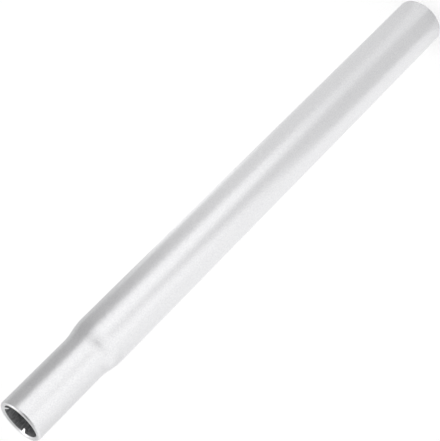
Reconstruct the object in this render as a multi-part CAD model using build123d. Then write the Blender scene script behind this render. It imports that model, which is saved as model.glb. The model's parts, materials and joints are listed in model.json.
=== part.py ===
from build123d import *
import math
import os

# Bicycle seatpost: one aluminium tube, swaged down at its top to a narrower neck for the saddle clamp.
# It stands on its cut foot at z = 0, with its axis on +Z and the open mouth of the neck on top.

# Outside, in millimetres
shank_diameter = 25.4  # slides into the seat tube of the frame
neck_diameter = 22.2  # takes the saddle clamp
overall_length = 300.0
neck_length = 41.0  # from the mouth down to the corner of neck and taper
taper_length = 8.0  # height of the taper, from corner to corner
shoulder_radius = 23.0  # soft bend between shank and taper
throat_radius = 10.0  # tighter bend between taper and neck

# Wall and edges
shank_wall = 2.0
neck_wall = 2.1  # the metal gathers where the tube is squeezed
mouth_chamfer = 0.5  # outer edge of the mouth
foot_chamfer = 0.4  # outer edge of the foot
countersink_width = 0.8  # widens the bore at both ends, and cuts the rib ends to the same slant
countersink_angle = 120.0  # degrees, between opposite sides of the cone

# Ribs along the inside of the wall
rib_height = 1.45
rib_root_width = 1.9
rib_tip_width = 0.7
rib_tip_radius = 0.2
rib_angles = (90.0, 170.0, 270.0)  # degrees about the axis, from +X

# Sizes that follow
shank_radius = shank_diameter / 2
neck_radius = neck_diameter / 2
shank_bore_radius = shank_radius - shank_wall
neck_bore_radius = neck_radius - neck_wall
taper_top = overall_length - neck_length
taper_foot = taper_top - taper_length

# A bend or a chamfer takes no more than this share of the edge or wall that it is cut from.
largest_share = 0.45


def bend_room():
    """The largest bend radius that the taper has room for at each of its two corners."""
    step = abs(shank_radius - neck_radius)
    half_turn = math.atan2(step, taper_length) / 2
    return largest_share * math.hypot(step, taper_length) / math.tan(half_turn)


def body():
    """The outside as a solid: its outline in the XZ plane, turned about the axis."""
    foot = min(foot_chamfer, largest_share * shank_wall)
    mouth = min(mouth_chamfer, largest_share * neck_wall)
    shoulder = min(shoulder_radius, bend_room())
    throat = min(throat_radius, bend_room())
    outline = FilletPolyline(
        (0, 0, 0),
        (shank_radius - foot, 0, 0),
        (shank_radius, 0, foot),
        (shank_radius, 0, taper_foot),
        (neck_radius, 0, taper_top),
        (neck_radius, 0, overall_length - mouth),
        (neck_radius - mouth, 0, overall_length),
        (0, 0, overall_length),
        radius=[0, 0, 0, shoulder, throat, 0, 0, 0],
        close=True,
    )
    return revolve(make_face(outline), Axis.Z)


def bore_section(height, radius):
    """Section of the hollow: a disc, less the ribs that stand on its edge."""
    flank_slope = (rib_root_width - rib_tip_width) / 2 / rib_height
    sunk_root = rib_height  # the rib runs on past the edge of the disc, so that its cut is clean
    tip = radius - rib_height
    rise = rib_height + sunk_root
    tip_half = rib_tip_width / 2
    root_half = tip_half + flank_slope * rise
    rib = make_face(
        Polyline(
            (tip, -tip_half),
            (tip + rise, -root_half),
            (tip + rise, root_half),
            (tip, tip_half),
            close=True,
        )
    )
    tip_corners = rib.vertices().group_by(Axis.X)[0]
    rib = fillet(tip_corners, min(rib_tip_radius, largest_share * rib_tip_width))
    hollow = Circle(radius)
    for angle in rib_angles:
        hollow -= Rot(0, 0, angle) * rib
    return Pos(0, 0, height) * hollow


def bore():
    """The hollow from foot to mouth: the section, carried up the shank, over the taper and up the neck."""
    sections = [
        bore_section(0, shank_bore_radius),
        bore_section(taper_foot, shank_bore_radius),
        bore_section(taper_top, neck_bore_radius),
        bore_section(overall_length, neck_bore_radius),
    ]
    return loft(sections, ruled=True)


def countersink(bore_radius, wall):
    """Cone that widens the end of a bore, with its wide face at z = 0 and its point, cut flat, above."""
    rim_radius = bore_radius + min(countersink_width, largest_share * wall)
    point_radius = (bore_radius - rib_height) / 2
    depth = (rim_radius - point_radius) / math.tan(math.radians(countersink_angle / 2))
    return Cone(rim_radius, point_radius, depth, align=(Align.CENTER, Align.CENTER, Align.MIN))


seatpost = body() - bore()
seatpost -= countersink(shank_bore_radius, shank_wall)
seatpost -= Pos(0, 0, overall_length) * Rot(180, 0, 0) * countersink(neck_bore_radius, neck_wall)

os.makedirs("parts", exist_ok=True)
export_step(seatpost, "parts/seatpost.step")
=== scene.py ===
import json
import math

import bpy
import numpy as np
from bpy.props import FloatProperty, FloatVectorProperty, PointerProperty, StringProperty
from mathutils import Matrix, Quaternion, Vector


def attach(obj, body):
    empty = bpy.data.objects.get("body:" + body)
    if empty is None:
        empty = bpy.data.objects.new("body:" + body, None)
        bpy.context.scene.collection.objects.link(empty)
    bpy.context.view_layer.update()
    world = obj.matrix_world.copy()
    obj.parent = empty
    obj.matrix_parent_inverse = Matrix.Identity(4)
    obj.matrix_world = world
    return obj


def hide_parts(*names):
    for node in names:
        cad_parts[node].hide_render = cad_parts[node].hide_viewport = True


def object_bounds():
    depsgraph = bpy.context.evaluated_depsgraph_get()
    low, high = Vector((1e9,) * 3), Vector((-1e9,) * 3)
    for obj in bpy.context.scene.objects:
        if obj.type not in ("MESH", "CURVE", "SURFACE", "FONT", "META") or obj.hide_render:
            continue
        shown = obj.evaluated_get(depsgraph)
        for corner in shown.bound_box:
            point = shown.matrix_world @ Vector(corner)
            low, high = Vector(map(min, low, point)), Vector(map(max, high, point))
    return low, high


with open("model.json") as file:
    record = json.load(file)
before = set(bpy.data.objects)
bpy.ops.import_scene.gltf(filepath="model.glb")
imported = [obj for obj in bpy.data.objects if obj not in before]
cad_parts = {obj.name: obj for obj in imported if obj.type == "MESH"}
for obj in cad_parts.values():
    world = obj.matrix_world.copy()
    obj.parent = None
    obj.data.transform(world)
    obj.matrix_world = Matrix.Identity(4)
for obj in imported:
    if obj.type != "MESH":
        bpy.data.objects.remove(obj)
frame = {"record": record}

bl_info = {
    "name": "Seatpost",
    "version": (1, 0, 0),
    "blender": (4, 5, 0),
    "location": "3D View > Sidebar > Seatpost",
    "description": "Builds a swaged aluminium seatpost with a ribbed bore on a plain studio floor",
    "category": "Add Mesh",
}

# Lengths are in metres, in the frame of the solid: the post stands on its foot at z = 0, its axis on +Z.
MM = 0.001
CAD_BOX = [list(corner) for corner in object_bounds()]
MOUNT_SIZES = {mount["name"]: mount["dims"] for mount in frame["record"]["mounts"]}

# How finely the tube is divided
ARC_STEPS = 7  # points on each rounded corner of the outline
HOLD_LENGTH = 0.0003  # from an end of a straight run to the point that keeps its shading flat
HOLD_LIMIT = 0.2  # the largest share of the run that this may be
END_ROWS = 28  # rows of the bore over the cut of each countersink
END_REACH = 1.1  # how far those rows run, in depths of the cut
SHANK_ROWS = (0.01, 0.1, 0.2)  # heights of the few rows up the plain shank
TAPER_ROWS = 15  # rows of the bore over the taper
TAPER_MARGIN = 0.003  # how far those rows run on below and above it
NECK_ROW = 0.01  # from the mouth down to the one row of the plain neck
EVEN_STEP = 2  # degrees between columns
RIB_COLUMNS = 71  # columns across each rib
RIB_SPREAD = 7  # degrees that they reach to each side of its middle
RIB_LIMIT = 10  # degrees from its middle past which a rib, sunk in the wall by then, is taken as level
ANGLE_DIGITS = 5  # columns that agree to so many digits are one

# Widths over which one surface of the bore blends into the next
TIP_BLEND = 0.0003
ROOT_BLEND = 0.0002
CUT_BLEND = 0.00008
TAPER_BLEND = 0.4  # as a share of the taper

# How far the lead-in of the mouth goes in for each step down
LEAD_SLOPE = 1 / 3

# Heights of the cards on the floor, which keep them in order where they overlap. Those cards are painted
# shade of the floor, which only reflections see.
BASE_CARD_HEIGHT = 0.0003
FAR_CARD_HEIGHT = 0.0004
NEAR_CARD_HEIGHT = 0.0005
OUTER_CARD_HEIGHT = 0.0006

# Sockets of a Mix node that mixes colours
MIX_FACTOR = 0
MIX_FIRST = 6
MIX_SECOND = 7
MIX_RESULT = 2

# Parts of a noise's range that are spread over the whole contrast of a finish
SPECK_RANGE = (0.4, 0.6)
GRAIN_RANGE = (0.3, 0.7)
FLECK_RANGE = (0.35, 0.65)
FULL_RANGE = (0.0, 1.0)

SATIN_ROUGHNESS = (0.277, 0.3)  # of the blasted skin, over its grain
WALL_FADE = (0.25, 0.8)  # sines of the angles above the floor where the walls begin and end to fade
WHITE = (1.0, 1.0, 1.0, 1.0)


class SeatpostShape(bpy.types.PropertyGroup):
    """Sizes of the tube."""

    shank_diameter: FloatProperty(
        name="Shank diameter",
        description="Outside of the part that slides into the seat tube",
        default=2 * MOUNT_SIZES["seat_tube_shank"]["r_mm"] * MM,
        subtype="DISTANCE",
        unit="LENGTH",
    )
    neck_diameter: FloatProperty(
        name="Neck diameter",
        description="Outside of the part that takes the saddle clamp",
        default=2 * MOUNT_SIZES["saddle_neck"]["r_mm"] * MM,
        subtype="DISTANCE",
        unit="LENGTH",
    )
    length: FloatProperty(
        name="Length",
        description="From the cut foot to the open mouth",
        default=CAD_BOX[1][2] - CAD_BOX[0][2],
        subtype="DISTANCE",
        unit="LENGTH",
    )
    neck_length: FloatProperty(
        name="Neck length",
        description="From the mouth down to the corner of neck and taper",
        default=0.04175,
        subtype="DISTANCE",
        unit="LENGTH",
    )
    taper_length: FloatProperty(
        name="Taper length",
        description="Height of the taper from corner to corner",
        default=0.0065,
        subtype="DISTANCE",
        unit="LENGTH",
    )
    shoulder_radius: FloatProperty(
        name="Shoulder bend",
        description="Radius of the soft bend between shank and taper",
        default=0.030,
        subtype="DISTANCE",
        unit="LENGTH",
    )
    throat_radius: FloatProperty(
        name="Throat bend",
        description="Radius of the somewhat tighter bend between taper and neck",
        default=0.024,
        subtype="DISTANCE",
        unit="LENGTH",
    )
    shank_wall: FloatProperty(
        name="Shank wall",
        description="Wall thickness of the shank",
        default=0.0020,
        subtype="DISTANCE",
        unit="LENGTH",
    )
    neck_wall: FloatProperty(
        name="Neck wall",
        description="Wall thickness of the neck, where squeezing gathers the metal",
        default=0.0021,
        subtype="DISTANCE",
        unit="LENGTH",
    )
    mouth_chamfer: FloatProperty(
        name="Mouth chamfer",
        description="Chamfer on the outer edge of the mouth",
        default=0.0004,
        subtype="DISTANCE",
        unit="LENGTH",
    )
    mouth_lead: FloatProperty(
        name="Mouth lead-in",
        description="Height of the steep lead-in that swaging rolls below that chamfer",
        default=0.0005,
        subtype="DISTANCE",
        unit="LENGTH",
    )
    foot_chamfer: FloatProperty(
        name="Foot chamfer",
        description="Chamfer on the outer edge of the foot",
        default=0.0004,
        subtype="DISTANCE",
        unit="LENGTH",
    )
    countersink_width: FloatProperty(
        name="Countersink width",
        description="How far the countersink widens the bore at each end",
        default=0.0008,
        subtype="DISTANCE",
        unit="LENGTH",
    )
    countersink_angle: FloatProperty(
        name="Countersink angle",
        description="Angle between opposite sides of the countersink",
        default=math.radians(106),
        subtype="ANGLE",
        unit="ROTATION",
    )
    edge_round: FloatProperty(
        name="Edge rounding",
        description="Radius that blasting leaves on every worked edge",
        default=0.00012,
        subtype="DISTANCE",
        unit="LENGTH",
    )
    rib_height: FloatProperty(
        name="Rib height",
        description="How far the ribs stand into the bore",
        default=0.00145,
        subtype="DISTANCE",
        unit="LENGTH",
    )
    rib_root_width: FloatProperty(
        name="Rib root width",
        description="Width of a rib where it leaves the wall",
        default=0.0019,
        subtype="DISTANCE",
        unit="LENGTH",
    )
    rib_tip_width: FloatProperty(
        name="Rib tip width",
        description="Width of a rib across its tip",
        default=0.0007,
        subtype="DISTANCE",
        unit="LENGTH",
    )
    rib_angles: FloatVectorProperty(
        name="Rib angles",
        description="Where the ribs stand around the axis, from +X",
        default=(math.radians(90), math.radians(170), math.radians(270)),
        size=3,
        unit="ROTATION",
    )


class SeatpostFinish(bpy.types.PropertyGroup):
    """Colours and grain of the metal. A colour is an sRGB hex value."""

    silver: StringProperty(
        name="Silver",
        description="Colour of the blasted and anodised skin",
        default="FCFCFD",
    )
    silver_shade: StringProperty(
        name="Silver shade",
        description="The slightly duller silver of its specks",
        default="F0F0F2",
    )
    grain_size: FloatProperty(
        name="Grain size",
        description="Spacing of the dimples that the blasting leaves",
        default=0.0005,
        subtype="DISTANCE",
        unit="LENGTH",
    )
    grain_depth: FloatProperty(
        name="Grain depth",
        description="Depth of those dimples",
        default=0.00008,
        subtype="DISTANCE",
        unit="LENGTH",
    )
    bore_film: StringProperty(
        name="Bore film",
        description="Colour of the drawing film left in the bore",
        default="D2D2D4",
    )
    bore_shade: StringProperty(
        name="Bore shade",
        description="The darker flecks in that film",
        default="9D9D9F",
    )
    fleck_width: FloatProperty(
        name="Fleck width",
        description="Width of those flecks, around the bore",
        default=0.0006,
        subtype="DISTANCE",
        unit="LENGTH",
    )
    fleck_length: FloatProperty(
        name="Fleck length",
        description="Length of those flecks, along the tube",
        default=0.002,
        subtype="DISTANCE",
        unit="LENGTH",
    )
    fleck_depth: FloatProperty(
        name="Fleck depth",
        description="Depth of the drawing marks under those flecks",
        default=0.0001,
        subtype="DISTANCE",
        unit="LENGTH",
    )


class SeatpostStage(bpy.types.PropertyGroup):
    """Camera, floor, light and cards.

    A bearing is a direction from the axis, counted from +X, and a reach is a distance from the axis along
    the floor. A colour is an sRGB hex value. A lift is how much of the background's white a sheet shows
    where the camera or a reflection sees it. The cards on the floor have duller colours or lower lifts than
    the floor: they are painted shade of it, which only reflections see.
    """

    camera_bearing: FloatProperty(
        name="Camera bearing",
        description="Bearing of the camera",
        default=math.radians(63.53),
        subtype="ANGLE",
        unit="ROTATION",
    )
    camera_reach: FloatProperty(
        name="Camera reach",
        description="Reach of the camera",
        default=0.55254,
        subtype="DISTANCE",
        unit="LENGTH",
    )
    camera_height: FloatProperty(
        name="Camera height",
        description="Height of the camera above the floor",
        default=0.45759,
        subtype="DISTANCE",
        unit="LENGTH",
    )
    camera_aim: FloatVectorProperty(
        name="Camera aim",
        description="Point that the camera looks at, near the middle of the post",
        default=(-0.00022, 0.00011, 0.16589),
        size=3,
        subtype="TRANSLATION",
        unit="LENGTH",
    )
    camera_roll: FloatProperty(
        name="Camera roll",
        description="Turn of the camera about its line of sight, which lays the post across the picture",
        default=math.radians(-135.072),
        subtype="ANGLE",
        unit="ROTATION",
    )
    lens: FloatProperty(
        name="Lens",
        description="Focal length in millimetres",
        default=110.217,
        unit="CAMERA",
    )
    floor_reach: FloatProperty(
        name="Floor reach",
        description="Distance from the axis to each side of the floor",
        default=5.0,
        subtype="DISTANCE",
        unit="LENGTH",
    )
    floor_colour: StringProperty(
        name="Floor colour",
        description="Colour of the floor and of the far and outer cards",
        default="F4F4F4",
    )
    floor_lift: FloatProperty(
        name="Floor lift",
        description="Lift of the floor",
        default=0.355,
        min=0.0,
        max=1.0,
        subtype="FACTOR",
    )
    wall_level: FloatProperty(
        name="Wall level",
        description="Brightness of the walls near the floor",
        default=1.0,
        min=0.0,
        max=1.0,
        subtype="FACTOR",
    )
    ceiling_level: FloatProperty(
        name="Ceiling level",
        description="Brightness straight above",
        default=0.55,
        min=0.0,
        max=1.0,
        subtype="FACTOR",
    )
    key_bearing: FloatProperty(
        name="Key bearing",
        description="Bearing of the soft lamp",
        default=math.radians(173.5),
        subtype="ANGLE",
        unit="ROTATION",
    )
    key_reach: FloatProperty(
        name="Key reach",
        description="Reach of the soft lamp",
        default=0.8,
        subtype="DISTANCE",
        unit="LENGTH",
    )
    key_height: FloatProperty(
        name="Key height",
        description="Height of the soft lamp above the floor",
        default=1.58,
        subtype="DISTANCE",
        unit="LENGTH",
    )
    key_size: FloatProperty(
        name="Key size",
        description="Diameter of the soft lamp",
        default=0.9,
        subtype="DISTANCE",
        unit="LENGTH",
    )
    key_power: FloatProperty(
        name="Key power",
        description="Power of the soft lamp",
        default=2.2,
        unit="POWER",
    )
    flag_bearing: FloatProperty(
        name="Flag bearing",
        description="Bearing of the grey flag that darkens one side of the post",
        default=math.radians(153.5),
        subtype="ANGLE",
        unit="ROTATION",
    )
    flag_reach: FloatProperty(
        name="Flag reach",
        description="Reach of the grey flag",
        default=0.454,
        subtype="DISTANCE",
        unit="LENGTH",
    )
    flag_width: FloatProperty(
        name="Flag width",
        description="Width of the grey flag",
        default=0.648,
        subtype="DISTANCE",
        unit="LENGTH",
    )
    flag_height: FloatProperty(
        name="Flag height",
        description="Height of both flags, which stand on the floor",
        default=0.5,
        subtype="DISTANCE",
        unit="LENGTH",
    )
    flag_colour: StringProperty(
        name="Flag colour",
        description="Colour of the flags and the screen",
        default="B0B0B0",
    )
    flag_lift: FloatProperty(
        name="Flag lift",
        description="Lift of the grey flag",
        default=0.09,
        min=0.0,
        max=1.0,
        subtype="FACTOR",
    )
    rear_flag_bearing: FloatProperty(
        name="Rear flag bearing",
        description="Bearing of the paler flag next to the first one",
        default=math.radians(218.75),
        subtype="ANGLE",
        unit="ROTATION",
    )
    rear_flag_reach: FloatProperty(
        name="Rear flag reach",
        description="Reach of that paler flag",
        default=0.45,
        subtype="DISTANCE",
        unit="LENGTH",
    )
    rear_flag_width: FloatProperty(
        name="Rear flag width",
        description="Width of that paler flag",
        default=0.514,
        subtype="DISTANCE",
        unit="LENGTH",
    )
    rear_flag_lift: FloatProperty(
        name="Rear flag lift",
        description="Lift of that paler flag",
        default=0.303,
        min=0.0,
        max=1.0,
        subtype="FACTOR",
    )
    # Painted shade: the colour of the side, front and base cards, duller than the floor.
    floor_shade_colour: StringProperty(
        name="Card colour",
        description="Colour of the side, front and base cards",
        default="D0D0D0",
    )
    # The side card is painted shade on the floor, on the flag's side of the post.
    side_card_bearing: FloatProperty(
        name="Side card bearing",
        description="Bearing along which the side card runs out from the axis to the reach of the flag",
        default=math.radians(151.5),
        subtype="ANGLE",
        unit="ROTATION",
    )
    side_card_width: FloatProperty(
        name="Side card width",
        description="Width of the side card at its outer end",
        default=0.776,
        subtype="DISTANCE",
        unit="LENGTH",
    )
    side_card_lift: FloatProperty(
        name="Side card lift",
        description="Lift of the side card",
        default=0.24,
        min=0.0,
        max=1.0,
        subtype="FACTOR",
    )
    # The front card is painted shadow on the floor, from the foot out towards the camera.
    front_card_start: FloatProperty(
        name="Front card start",
        description="Reach of the inner corner of the card before the post, on the camera's bearing",
        default=0.01,
        subtype="DISTANCE",
        unit="LENGTH",
    )
    front_card_bearings: FloatVectorProperty(
        name="Front card bearings",
        description="Bearings of the three outer corners of that card",
        default=(math.radians(-1), math.radians(58.5), math.radians(74.5)),
        size=3,
        unit="ROTATION",
    )
    front_card_reaches: FloatVectorProperty(
        name="Front card reaches",
        description="Reaches of those three corners",
        default=(0.2, 1.15, 0.22),
        size=3,
        unit="LENGTH",
    )
    front_card_lift: FloatProperty(
        name="Front card lift",
        description="Lift of the front card",
        default=0.2,
        min=0.0,
        max=1.0,
        subtype="FACTOR",
    )
    # The far card is painted shade: a dimmer copy of the floor on the other side of the post.
    far_card_bearing: FloatProperty(
        name="Far card bearing",
        description="Bearing along which the far card runs out from the axis, across from the side card",
        default=math.radians(-41.5),
        subtype="ANGLE",
        unit="ROTATION",
    )
    far_card_reach: FloatProperty(
        name="Far card reach",
        description="Reach of the outer end of the far card",
        default=1.2,
        subtype="DISTANCE",
        unit="LENGTH",
    )
    far_card_width: FloatProperty(
        name="Far card width",
        description="Width of the far card at its outer end",
        default=3.0,
        subtype="DISTANCE",
        unit="LENGTH",
    )
    far_card_lift: FloatProperty(
        name="Far card lift",
        description="Lift of the far card",
        default=0.257,
        min=0.0,
        max=1.0,
        subtype="FACTOR",
    )
    # The outer card is deeper painted shade of the floor, further out on that side.
    outer_card_bearing: FloatProperty(
        name="Outer card bearing",
        description="Bearing along which the outer card runs, over the end of the far card and beyond it",
        default=math.radians(-60),
        subtype="ANGLE",
        unit="ROTATION",
    )
    outer_card_reaches: FloatVectorProperty(
        name="Outer card reaches",
        description="Reaches of the inner and the outer end of the outer card",
        default=(0.7, 1.6),
        size=2,
        unit="LENGTH",
    )
    outer_card_widths: FloatVectorProperty(
        name="Outer card widths",
        description="Widths of the outer card at those two ends",
        default=(1.1, 2.5),
        size=2,
        unit="LENGTH",
    )
    outer_card_lift: FloatProperty(
        name="Outer card lift",
        description="Lift of the outer card",
        default=0.11,
        min=0.0,
        max=1.0,
        subtype="FACTOR",
    )
    # The base card is painted contact shade on the floor around the foot.
    base_card_reach: FloatProperty(
        name="Base card reach",
        description="Distance from the axis to each side of the card under the foot",
        default=0.2,
        subtype="DISTANCE",
        unit="LENGTH",
    )
    base_card_lift: FloatProperty(
        name="Base card lift",
        description="Lift of that card",
        default=0.325,
        min=0.0,
        max=1.0,
        subtype="FACTOR",
    )
    hood_colour: StringProperty(
        name="Hood colour",
        description="Colour of the black hood and visor",
        default="101010",
    )
    hood_bearing: FloatProperty(
        name="Hood bearing",
        description="Bearing of the hood, which hangs behind and above the camera, and of the visor",
        default=math.radians(75),
        subtype="ANGLE",
        unit="ROTATION",
    )
    hood_reach: FloatProperty(
        name="Hood reach",
        description="Reach of the hood and the visor",
        default=1.5,
        subtype="DISTANCE",
        unit="LENGTH",
    )
    hood_heights: FloatVectorProperty(
        name="Hood heights",
        description="Heights of the lower and the upper edge of the hood above the floor",
        default=(0.51, 0.72),
        size=2,
        unit="LENGTH",
    )
    hood_foot_span: FloatVectorProperty(
        name="Hood foot span",
        description="Where the lower edge of the hood begins and ends, aside of its bearing",
        default=(-0.1, 1.7),
        size=2,
        unit="LENGTH",
    )
    hood_top_span: FloatVectorProperty(
        name="Hood top span",
        description="Where the upper edge of the hood begins and ends, aside of its bearing",
        default=(-0.85, 2.2),
        size=2,
        unit="LENGTH",
    )
    visor_heights: FloatVectorProperty(
        name="Visor heights",
        description="Heights of the lower and the upper edge of the visor above the floor",
        default=(0.72, 2.0),
        size=2,
        unit="LENGTH",
    )
    visor_foot_span: FloatVectorProperty(
        name="Visor foot span",
        description="Where the lower edge of the visor begins and ends, aside of its bearing",
        default=(-0.9, 0.15),
        size=2,
        unit="LENGTH",
    )
    visor_top_span: FloatVectorProperty(
        name="Visor top span",
        description="Where the upper edge of the visor begins and ends, aside of its bearing",
        default=(-6.5, 0.15),
        size=2,
        unit="LENGTH",
    )
    screen_bearing: FloatProperty(
        name="Screen bearing",
        description="Bearing of the grey screen behind the post",
        default=math.radians(243.5),
        subtype="ANGLE",
        unit="ROTATION",
    )
    screen_reach: FloatProperty(
        name="Screen reach",
        description="Reach of the screen",
        default=1.5,
        subtype="DISTANCE",
        unit="LENGTH",
    )
    screen_heights: FloatVectorProperty(
        name="Screen heights",
        description="Heights of the lower and the upper edge of the screen above the floor",
        default=(0.35, 1.7),
        size=2,
        unit="LENGTH",
    )
    screen_width: FloatProperty(
        name="Screen width",
        description="Width of the screen",
        default=3.0,
        subtype="DISTANCE",
        unit="LENGTH",
    )
    screen_lift: FloatProperty(
        name="Screen lift",
        description="Lift of the screen",
        default=0.37,
        min=0.0,
        max=1.0,
        subtype="FACTOR",
    )


def linear(hex_colour):
    """sRGB hex value to a linear colour: the curve is straight at its foot, and a power of 2.4 above."""
    srgb = np.array([int(hex_colour[i : i + 2], 16) for i in (0, 2, 4)]) / 255
    value = np.where(srgb <= 0.04045, srgb / 12.92, ((srgb + 0.055) / 1.055) ** 2.4)
    return (*value.tolist(), 1.0)


def add_node(tree, kind, settings=None, values=None, links=None):
    """Add one node. Settings go to its attributes, values to its sockets, and links join others to it."""
    node = tree.nodes.new(kind)
    for name, value in (settings or {}).items():
        setattr(node, name, value)
    for socket, value in (values or {}).items():
        node.inputs[socket].default_value = value
    for socket, source in (links or {}).items():
        tree.links.new(source, node.inputs[socket])
    return node


def empty_tree(owner):
    """Node tree of a material or world, with nothing in it."""
    owner.use_nodes = True
    owner.node_tree.nodes.clear()
    return owner.node_tree


def map_range(tree, value, before, after=FULL_RANGE, settings=None):
    """A value moved from one range to another, and held at the ends of it."""
    node = add_node(
        tree,
        "ShaderNodeMapRange",
        settings=settings,
        values={"From Min": before[0], "From Max": before[1], "To Min": after[0], "To Max": after[1]},
        links={"Value": value},
    )
    return node.outputs["Result"]


def two_tone(tree, share, first, second):
    """Colour that goes from a first sRGB hex value to a second one as the share goes from 0 to 1."""
    node = add_node(
        tree,
        "ShaderNodeMix",
        settings={"data_type": "RGBA"},
        values={MIX_FIRST: linear(first), MIX_SECOND: linear(second)},
        links={MIX_FACTOR: share},
    )
    return node.outputs[MIX_RESULT]


def soft_min(a, b, width):
    """The smaller of two values, with the change between them rounded by a parabola over a width."""
    share = np.clip(0.5 + 0.5 * (b - a) / width, 0, 1)
    return b + (a - b) * share - width * share * (1 - share)


def rounded_outline(points, radii):
    """Open outline from the first point to the last, with an arc at each corner between them.

    At a corner, unit vectors a and b point to its neighbours and enclose twice the half angle h. The arc of
    radius r has its centre on the bisector at r / sin(h), and touches the two sides at r / tan(h) from the
    corner. Its points turn evenly from one touching point to the other. A straight run has points at its
    quarters and a short hold from each end, which keeps its shading flat.
    """
    corners = points[1:-1]
    toward_last = points[:-2] - corners
    toward_next = points[2:] - corners
    a = toward_last / np.linalg.norm(toward_last, axis=1, keepdims=True)
    b = toward_next / np.linalg.norm(toward_next, axis=1, keepdims=True)
    half = np.arccos(np.sum(a * b, axis=1, keepdims=True)) / 2
    radius = radii[:, None]
    centre = corners + (a + b) / np.linalg.norm(a + b, axis=1, keepdims=True) * radius / np.sin(half)
    trim = radius / np.tan(half)
    room = np.linalg.norm(np.diff(points, axis=0), axis=1)
    if np.any(np.append(trim, 0) + np.insert(trim, 0, 0) > room):
        raise ValueError("A bend or rounded edge is too large for the side of the outline that it ends.")
    start = (corners + a * trim - centre)[:, None, :]
    end = (corners + b * trim - centre)[:, None, :]
    turn = (np.pi - 2 * half)[:, None, :]
    share = np.linspace(0, 1, ARC_STEPS)[None, :, None]
    swing = (start * np.sin((1 - share) * turn) + end * np.sin(share * turn)) / np.sin(turn)
    arcs = centre[:, None, :] + swing
    run_start = np.concatenate([points[:1], arcs[:, -1]])[:, None, :]
    run_end = np.concatenate([arcs[:, 0], points[-1:]])[:, None, :]
    run_length = np.linalg.norm(run_end - run_start, axis=2, keepdims=True)
    hold = np.minimum(HOLD_LENGTH / run_length, HOLD_LIMIT)
    quarters = np.broadcast_to(np.array([0.25, 0.5, 0.75])[None, :, None], (len(run_start), 3, 1))
    run_share = np.concatenate([hold, quarters, 1 - hold], axis=1)
    runs = run_start + (run_end - run_start) * run_share
    bends = np.concatenate([runs[:-1], arcs], axis=1).reshape(-1, 2)
    return np.concatenate([points[:1], bends, runs[-1], points[-1:]])


def outer_outline(shape):
    """Radius and height of points from the inner edge of the mouth, down the outside, to the foot's."""
    shank = shape.shank_diameter / 2
    neck = shape.neck_diameter / 2
    top = shape.length
    taper_top = top - shape.neck_length
    lead_in = shape.mouth_lead * LEAD_SLOPE
    edge = shape.edge_round
    points = np.array(
        [
            (neck - shape.neck_wall + shape.countersink_width, top),
            (neck - lead_in - shape.mouth_chamfer, top),
            (neck - lead_in, top - shape.mouth_chamfer),
            (neck, top - shape.mouth_chamfer - shape.mouth_lead),
            (neck, taper_top),
            (shank, taper_top - shape.taper_length),
            (shank, shape.foot_chamfer),
            (shank - shape.foot_chamfer, 0),
            (shank - shape.shank_wall + shape.countersink_width, 0),
        ]
    )
    radii = np.array([edge, edge, edge, shape.throat_radius, shape.shoulder_radius, edge, edge])
    return rounded_outline(points, radii)


def bore_rows(shape, slant):
    """Heights of the rows up the bore, closer together over the taper and the cuts of the countersinks."""
    top = shape.length
    taper_top = top - shape.neck_length
    taper_foot = taper_top - shape.taper_length
    rib_cut = (shape.countersink_width + shape.rib_height) / slant
    near_end = np.linspace(0, END_REACH * rib_cut, END_ROWS)
    over_taper = np.linspace(taper_foot - TAPER_MARGIN, taper_top + TAPER_MARGIN, TAPER_ROWS)
    return np.concatenate([near_end, SHANK_ROWS, over_taper, [top - NECK_ROW], top - near_end[::-1]])


def column_angles(shape):
    """Angles of the columns about the axis, evenly spread and closer together across the ribs."""
    even = np.radians(np.arange(0, 360, EVEN_STEP))
    across = np.radians(np.linspace(-RIB_SPREAD, RIB_SPREAD, RIB_COLUMNS))
    near_ribs = np.add.outer(np.array(shape.rib_angles), across).ravel()
    return np.unique(np.round(np.concatenate([even, near_ribs]) % (2 * np.pi), ANGLE_DIGITS))


def taper_bend(height, shape):
    """0 in the shank and 1 in the neck. Over the taper it rises as a straight line with soft ends."""
    taper_top = shape.length - shape.neck_length
    share = (height - taper_top + shape.taper_length) / shape.taper_length
    return -soft_min(-soft_min(share, 1.0, TAPER_BLEND), 0.0, TAPER_BLEND)


def rib_radius(angles, tip, shape):
    """Radius of the rib surface, for each row's tip radius and each column's angle.

    A rib is a wedge with straight flanks. With d the angle to the nearest rib's middle, its flat tip lies
    at tip / cos(d), and its flank, whose half width grows by a slope for each step outwards, at
    (slope * tip - half tip width) / (slope * cos(d) - sin(d)). The rib is the larger of the two.
    """
    ribs = np.array(shape.rib_angles)
    offset = np.abs(np.angle(np.exp(1j * (angles[:, None] - ribs[None, :])))).min(axis=1)
    offset = np.minimum(offset, math.radians(RIB_LIMIT))[None, :]
    slope = (shape.rib_root_width - shape.rib_tip_width) / 2 / shape.rib_height
    flat_tip = tip[:, None] / np.cos(offset)
    flank = (slope * tip[:, None] - shape.rib_tip_width / 2) / (slope * np.cos(offset) - np.sin(offset))
    return -soft_min(-flat_tip, -flank, TIP_BLEND)


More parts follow.
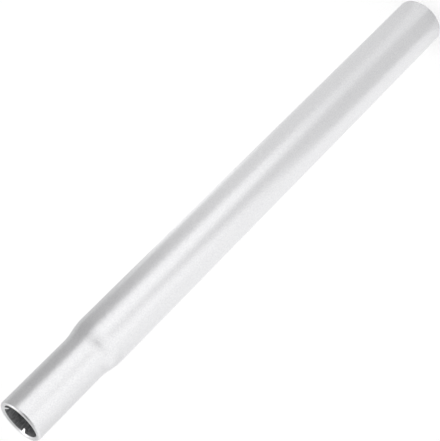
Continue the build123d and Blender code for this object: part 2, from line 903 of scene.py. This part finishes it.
def tube_surface(shape):
    """Points of the whole tube wall as a closed grid, and which of them the blasting didn't reach.

    The rows run up the bore, over the mouth and down the outside to the foot, and each is turned about the
    axis. In the bore the radius is the smaller of the round wall's and the ribs', or the countersink's
    where that is larger: its rim radius less the depth times the tangent of half its angle. Blasting
    reached all but the bore behind the countersinks.
    """
    shank_bore = shape.shank_diameter / 2 - shape.shank_wall
    neck_bore = shape.neck_diameter / 2 - shape.neck_wall
    slant = math.tan(shape.countersink_angle / 2)
    angles = column_angles(shape)
    bore_height = bore_rows(shape, slant)
    bore_radius = shank_bore + (neck_bore - shank_bore) * taper_bend(bore_height, shape)
    depth = np.minimum(bore_height, shape.length - bore_height)
    sunk = (bore_radius + shape.countersink_width - depth * slant)[:, None]
    ribs = rib_radius(angles, bore_radius - shape.rib_height, shape)
    ribbed = soft_min(bore_radius[:, None], ribs, ROOT_BLEND)
    inside = -soft_min(-ribbed, -sunk, CUT_BLEND)

    outside = outer_outline(shape)[1:-1]
    radius = np.concatenate([inside, np.repeat(outside[:, :1], len(angles), axis=1)])
    height = np.concatenate([bore_height, outside[:, 1]])[:, None]
    points = np.stack(
        [radius * np.cos(angles), radius * np.sin(angles), np.broadcast_to(height, radius.shape)],
        axis=-1,
    )
    unblasted = np.zeros(radius.shape, dtype=bool)
    unblasted[: len(inside)] = ribbed > sunk
    return points, unblasted


def closed_grid(name, points):
    """Mesh of a grid that closes on itself in both directions, with its faces turned outwards."""
    rows, columns = points.shape[:2]
    here = np.arange(rows * columns).reshape(rows, columns)
    aside = np.roll(here, -1, axis=1)
    above = np.roll(here, -1, axis=0)
    beyond = np.roll(above, -1, axis=1)
    faces = np.stack([here, above, beyond, aside], axis=-1).reshape(-1, 4)
    mesh = bpy.data.meshes.new(name)
    mesh.from_pydata(points.reshape(-1, 3), [], faces)
    mesh.polygons.foreach_set("use_smooth", np.ones(len(faces), dtype=bool))
    mesh.update()
    return mesh


def blasted_aluminium(finish):
    """Anodised aluminium, bead blasted first.

    The dimples scatter the reflections, so the metal has a soft even sheen with a fine sparkle of grain,
    and the clear oxide keeps it pale and neutral. The real dimples are about 0.1 mm, too fine to show. They
    are drawn at the grain size of the finish settings, several times coarser.
    """
    material = bpy.data.materials.new("blasted_anodised_aluminium")
    tree = empty_tree(material)
    place = add_node(tree, "ShaderNodeTexCoord").outputs["Object"]
    grain = add_node(
        tree,
        "ShaderNodeTexNoise",
        values={"Scale": 1 / finish.grain_size, "Detail": 2.0, "Roughness": 0.6},
        links={"Vector": place},
    ).outputs["Fac"]
    specks = map_range(tree, grain, SPECK_RANGE)
    bump = add_node(
        tree,
        "ShaderNodeBump",
        values={"Strength": 1.0, "Distance": finish.grain_depth},
        links={"Height": grain},
    )
    shader = add_node(
        tree,
        "ShaderNodeBsdfPrincipled",
        values={"Metallic": 1.0},
        links={
            "Base Color": two_tone(tree, specks, finish.silver, finish.silver_shade),
            "Roughness": map_range(tree, grain, GRAIN_RANGE, SATIN_ROUGHNESS),
            "Normal": bump.outputs["Normal"],
        },
    )
    add_node(tree, "ShaderNodeOutputMaterial", links={"Surface": shader.outputs["BSDF"]})
    return material


def drawn_aluminium(finish):
    """Aluminium as the drawing die left it, under a dark film.

    Neither the cutter nor the blasting reached it, so the bore is dull grey, with faint darker flecks drawn
    out along the tube. Real drawing marks are far finer. They are drawn coarser, so that they show.
    """
    material = bpy.data.materials.new("drawn_aluminium")
    tree = empty_tree(material)
    place = add_node(tree, "ShaderNodeTexCoord").outputs["Object"]
    stretch = add_node(
        tree,
        "ShaderNodeMapping",
        values={"Scale": (1.0, 1.0, finish.fleck_width / finish.fleck_length)},
        links={"Vector": place},
    )
    flecks = add_node(
        tree,
        "ShaderNodeTexNoise",
        values={"Scale": 1 / finish.fleck_width, "Detail": 2.0},
        links={"Vector": stretch.outputs["Vector"]},
    ).outputs["Fac"]
    contrast = map_range(tree, flecks, FLECK_RANGE)
    bump = add_node(
        tree,
        "ShaderNodeBump",
        values={"Strength": 0.2, "Distance": finish.fleck_depth},
        links={"Height": flecks},
    )
    shader = add_node(
        tree,
        "ShaderNodeBsdfPrincipled",
        values={"Metallic": 1.0, "Roughness": 0.6},
        links={
            "Base Color": two_tone(tree, contrast, finish.bore_film, finish.bore_shade),
            "Normal": bump.outputs["Normal"],
        },
    )
    add_node(tree, "ShaderNodeOutputMaterial", links={"Surface": shader.outputs["BSDF"]})
    return material


def seen_direct(tree):
    """1 for a ray from the camera, a reflection or through glass, and 0 for light falling on a surface."""
    path = add_node(tree, "ShaderNodeLightPath").outputs
    seen = path["Is Camera Ray"]
    for other in ("Is Glossy Ray", "Is Transmission Ray"):
        seen = add_node(
            tree,
            "ShaderNodeMath",
            settings={"operation": "MAXIMUM"},
            links={0: seen, 1: path[other]},
        ).outputs["Value"]
    return seen


def matt_sheet(name, colour, lift):
    """Matt paper or cloth without any gloss, lifted towards the white of the background where it is seen.

    It still takes a shadow, and the lift lights nothing.
    """
    material = bpy.data.materials.new(name)
    # Light sampling can't tell a reflection from light on a surface, so the lift stays out of it.
    material.cycles.emission_sampling = "NONE"
    tree = empty_tree(material)
    glow = add_node(
        tree,
        "ShaderNodeMath",
        settings={"operation": "MULTIPLY"},
        values={1: lift},
        links={0: seen_direct(tree)},
    )
    shader = add_node(
        tree,
        "ShaderNodeBsdfPrincipled",
        values={
            "Base Color": linear(colour),
            "Roughness": 1.0,
            "Specular IOR Level": 0.0,
            "Emission Color": WHITE,
        },
        links={"Emission Strength": glow.outputs["Value"]},
    )
    add_node(tree, "ShaderNodeOutputMaterial", links={"Surface": shader.outputs["BSDF"]})
    return material


def studio_walls(stage):
    """White walls all around, which fade smoothly to a dimmer ceiling.

    The level depends on the height of a direction, which is the sine of its angle above the floor.
    """
    world = bpy.data.worlds.new("studio")
    tree = empty_tree(world)
    direction = add_node(tree, "ShaderNodeTexCoord").outputs["Generated"]
    height = add_node(tree, "ShaderNodeSeparateXYZ", links={"Vector": direction}).outputs["Z"]
    levels = (stage.wall_level, stage.ceiling_level)
    walls = map_range(tree, height, WALL_FADE, levels, {"interpolation_type": "SMOOTHSTEP"})
    light = add_node(tree, "ShaderNodeBackground", values={"Color": WHITE}, links={"Strength": walls})
    add_node(tree, "ShaderNodeOutputWorld", links={"Surface": light.outputs["Background"]})
    return world


def around(bearing, reach, height):
    """Point at a bearing and a reach from the axis, and at a height above the floor."""
    return Vector((reach * math.cos(bearing), reach * math.sin(bearing), height))


def square_corners(reach, height):
    """Corners of a level square with the axis in its middle, whose sides lie at a reach from it."""
    return [
        (-reach, -reach, height),
        (reach, -reach, height),
        (reach, reach, height),
        (-reach, reach, height),
    ]


def strip_corners(near, far, bearing, near_span, far_span):
    """Corners of a strip between two points on a bearing, with a span aside of each of them."""
    aside = around(bearing + math.pi / 2, 1.0, 0.0)
    return [
        near + aside * near_span[1],
        near + aside * near_span[0],
        far + aside * far_span[0],
        far + aside * far_span[1],
    ]


def flat_corners(bearing, reaches, widths, height):
    """Corners of a card that lies at a height, from one reach to another, with a width at each end."""
    near, far = (around(bearing, reach, height) for reach in reaches)
    near_span, far_span = ((-width / 2, width / 2) for width in widths)
    return strip_corners(near, far, bearing, near_span, far_span)


def standing_corners(bearing, reach, heights, foot_span, top_span):
    """Corners of a sheet that stands across a bearing, from one height to another, with a span at each."""
    foot, top = (around(bearing, reach, height) for height in heights)
    return strip_corners(foot, top, bearing, foot_span, top_span)


def add_sheet(name, corners, material):
    """Flat four-cornered sheet of the stage."""
    mesh = bpy.data.meshes.new(name)
    mesh.from_pydata(corners, [], [(0, 1, 2, 3)])
    mesh.materials.append(material)
    sheet = bpy.data.objects.new(name, mesh)
    bpy.context.scene.collection.objects.link(sheet)
    return sheet


def add_card(name, corners, material):
    """Sheet that only the reflections in the metal see.

    Satin metal shows what it mirrors. The flags, hood and screen stand away from the post, as a
    photographer's cards do. The cards on the floor are painted shade of the floor. The camera doesn't see
    any of these sheets, and they neither light nor shade anything.
    """
    card = add_sheet(name, corners, material)
    card.visible_camera = False
    card.visible_diffuse = False
    card.visible_shadow = False


def add_flags(stage):
    """Two grey flags that stand on the floor and darken one side of the post, the second one paler."""
    flags = (
        ("flag", stage.flag_bearing, stage.flag_reach, stage.flag_width, stage.flag_lift),
        (
            "rear_flag",
            stage.rear_flag_bearing,
            stage.rear_flag_reach,
            stage.rear_flag_width,
            stage.rear_flag_lift,
        ),
    )
    for name, bearing, reach, width, lift in flags:
        span = (-width / 2, width / 2)
        corners = standing_corners(bearing, reach, (0.0, stage.flag_height), span, span)
        add_card(name, corners, matt_sheet("matt_grey_" + name, stage.flag_colour, lift))


def add_floor_shade(stage):
    """Painted shade of the floor, which only reflections see: cards that lie on it, under the foot and
    before the sides of the post, duller or dimmer than the floor itself.
    """
    # Painted shade on the floor, on the flag's side of the post.
    side = flat_corners(
        stage.side_card_bearing,
        (0.0, stage.flag_reach),
        (0.0, stage.side_card_width),
        NEAR_CARD_HEIGHT,
    )
    # Painted shadow on the floor, from the foot out towards the camera.
    front = [around(stage.camera_bearing, stage.front_card_start, NEAR_CARD_HEIGHT)]
    for bearing, reach in zip(stage.front_card_bearings, stage.front_card_reaches):
        front.append(around(bearing, reach, NEAR_CARD_HEIGHT))
    # Painted shade: the floor dimmer on the other side of the post.
    far = flat_corners(
        stage.far_card_bearing,
        (0.0, stage.far_card_reach),
        (0.0, stage.far_card_width),
        FAR_CARD_HEIGHT,
    )
    # Deeper painted shade of the floor, further out on that side.
    outer = flat_corners(
        stage.outer_card_bearing,
        stage.outer_card_reaches,
        stage.outer_card_widths,
        OUTER_CARD_HEIGHT,
    )
    # Painted contact shade around the foot.
    base = square_corners(stage.base_card_reach, BASE_CARD_HEIGHT)
    # Each card has the floor's colour or a duller one, at a lower lift than the floor: painted shade of the
    # floor.
    cards = (
        ("side_shade_card", side, stage.floor_shade_colour, stage.side_card_lift),
        ("front_shadow_card", front, stage.floor_shade_colour, stage.front_card_lift),
        ("far_shade_card", far, stage.floor_colour, stage.far_card_lift),
        ("outer_shade_card", outer, stage.floor_colour, stage.outer_card_lift),
        ("foot_shadow_card", base, stage.floor_shade_colour, stage.base_card_lift),
    )
    for name, corners, colour, lift in cards:
        add_card(name, corners, matt_sheet("matt_pale_" + name, colour, lift))


def add_hood(stage):
    """Black hood behind and above the camera, with a taller visor on one end of it.

    They give the dark lines on the shoulder and around the mouth.
    """
    cloth = matt_sheet("matt_black_hood", stage.hood_colour, 0.0)
    pieces = (
        ("hood", stage.hood_heights, stage.hood_foot_span, stage.hood_top_span),
        ("visor", stage.visor_heights, stage.visor_foot_span, stage.visor_top_span),
    )
    for name, heights, foot_span, top_span in pieces:
        corners = standing_corners(stage.hood_bearing, stage.hood_reach, heights, foot_span, top_span)
        add_card(name, corners, cloth)


def add_screen(stage):
    """Grey screen behind the post, which the cut end of the mouth mirrors."""
    span = (-stage.screen_width / 2, stage.screen_width / 2)
    corners = standing_corners(stage.screen_bearing, stage.screen_reach, stage.screen_heights, span, span)
    add_card("screen", corners, matt_sheet("matt_grey_screen", stage.flag_colour, stage.screen_lift))


def add_key_lamp(stage):
    """Large round soft lamp, turned towards the middle of the post."""
    light = bpy.data.lights.new("key", "AREA")
    light.shape = "DISK"
    light.size = stage.key_size
    light.energy = stage.key_power
    lamp = bpy.data.objects.new("key", light)
    lamp.location = around(stage.key_bearing, stage.key_reach, stage.key_height)
    middle = Vector((0.0, 0.0, CAD_BOX[1][2] / 2))
    lamp.rotation_euler = (middle - lamp.location).to_track_quat("-Z", "Y").to_euler()
    bpy.context.scene.collection.objects.link(lamp)


def add_camera(stage):
    """Camera at the photograph's viewing angle, rolled so that the post lies across the picture."""
    view = bpy.data.cameras.new("camera")
    view.lens = stage.lens
    camera = bpy.data.objects.new("camera", view)
    camera.location = around(stage.camera_bearing, stage.camera_reach, stage.camera_height)
    sight = Vector(stage.camera_aim) - camera.location
    roll = Quaternion((0, 0, 1), stage.camera_roll)
    camera.rotation_mode = "QUATERNION"
    camera.rotation_quaternion = sight.to_track_quat("-Z", "Y") @ roll
    bpy.context.scene.collection.objects.link(camera)
    return camera


class SEATPOST_OT_tube(bpy.types.Operator):
    """Build the tube with its swaged neck and ribbed bore."""

    bl_idname = "seatpost.tube"
    bl_label = "Build Tube"

    def execute(self, context):
        shape = context.scene.seatpost_shape
        finish = context.scene.seatpost_finish
        points, unblasted = tube_surface(shape)
        mesh = closed_grid("tube", points)
        tube = bpy.data.objects.new("tube", mesh)
        context.scene.collection.objects.link(tube)
        mesh.materials.append(blasted_aluminium(finish))
        mesh.materials.append(drawn_aluminium(finish))
        # A face stays as drawn where the blasting reached none of its four corners.
        unblasted = unblasted & np.roll(unblasted, -1, axis=0)
        unblasted = unblasted & np.roll(unblasted, -1, axis=1)
        mesh.polygons.foreach_set("material_index", unblasted.astype(np.int32).ravel())
        mesh.update()
        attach(tube, "root")
        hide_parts("seatpost")
        return {"FINISHED"}


class SEATPOST_OT_stage(bpy.types.Operator):
    """Set up the floor, the cards, the light and the camera."""

    bl_idname = "seatpost.stage"
    bl_label = "Set Stage"

    def execute(self, context):
        scene = context.scene
        stage = scene.seatpost_stage
        scene.view_settings.view_transform = "Standard"
        scene.world = studio_walls(stage)
        paper = matt_sheet("matt_white_floor", stage.floor_colour, stage.floor_lift)
        add_sheet("floor", square_corners(stage.floor_reach, 0.0), paper)
        add_flags(stage)
        add_floor_shade(stage)
        add_hood(stage)
        add_screen(stage)
        add_key_lamp(stage)
        scene.camera = add_camera(stage)
        return {"FINISHED"}


class SEATPOST_PT_panel(bpy.types.Panel):
    """Lists the steps that build the seatpost."""

    bl_label = "Seatpost"
    bl_space_type = "VIEW_3D"
    bl_region_type = "UI"
    bl_category = "Seatpost"

    def draw(self, context):
        self.layout.operator("seatpost.tube")
        self.layout.operator("seatpost.stage")


CLASSES = (
    SeatpostShape,
    SeatpostFinish,
    SeatpostStage,
    SEATPOST_OT_tube,
    SEATPOST_OT_stage,
    SEATPOST_PT_panel,
)


def register():
    """Register the classes, and give the scene the three groups of settings."""
    for cls in CLASSES:
        bpy.utils.register_class(cls)
    bpy.types.Scene.seatpost_shape = PointerProperty(type=SeatpostShape)
    bpy.types.Scene.seatpost_finish = PointerProperty(type=SeatpostFinish)
    bpy.types.Scene.seatpost_stage = PointerProperty(type=SeatpostStage)


def unregister():
    """Take the settings off the scene again, and unregister the classes."""
    del bpy.types.Scene.seatpost_stage
    del bpy.types.Scene.seatpost_finish
    del bpy.types.Scene.seatpost_shape
    for cls in reversed(CLASSES):
        bpy.utils.unregister_class(cls)


def main():
    """Build the tube and its stage."""
    register()
    bpy.ops.seatpost.tube()
    bpy.ops.seatpost.stage()


if __name__ == "__main__":
    main()
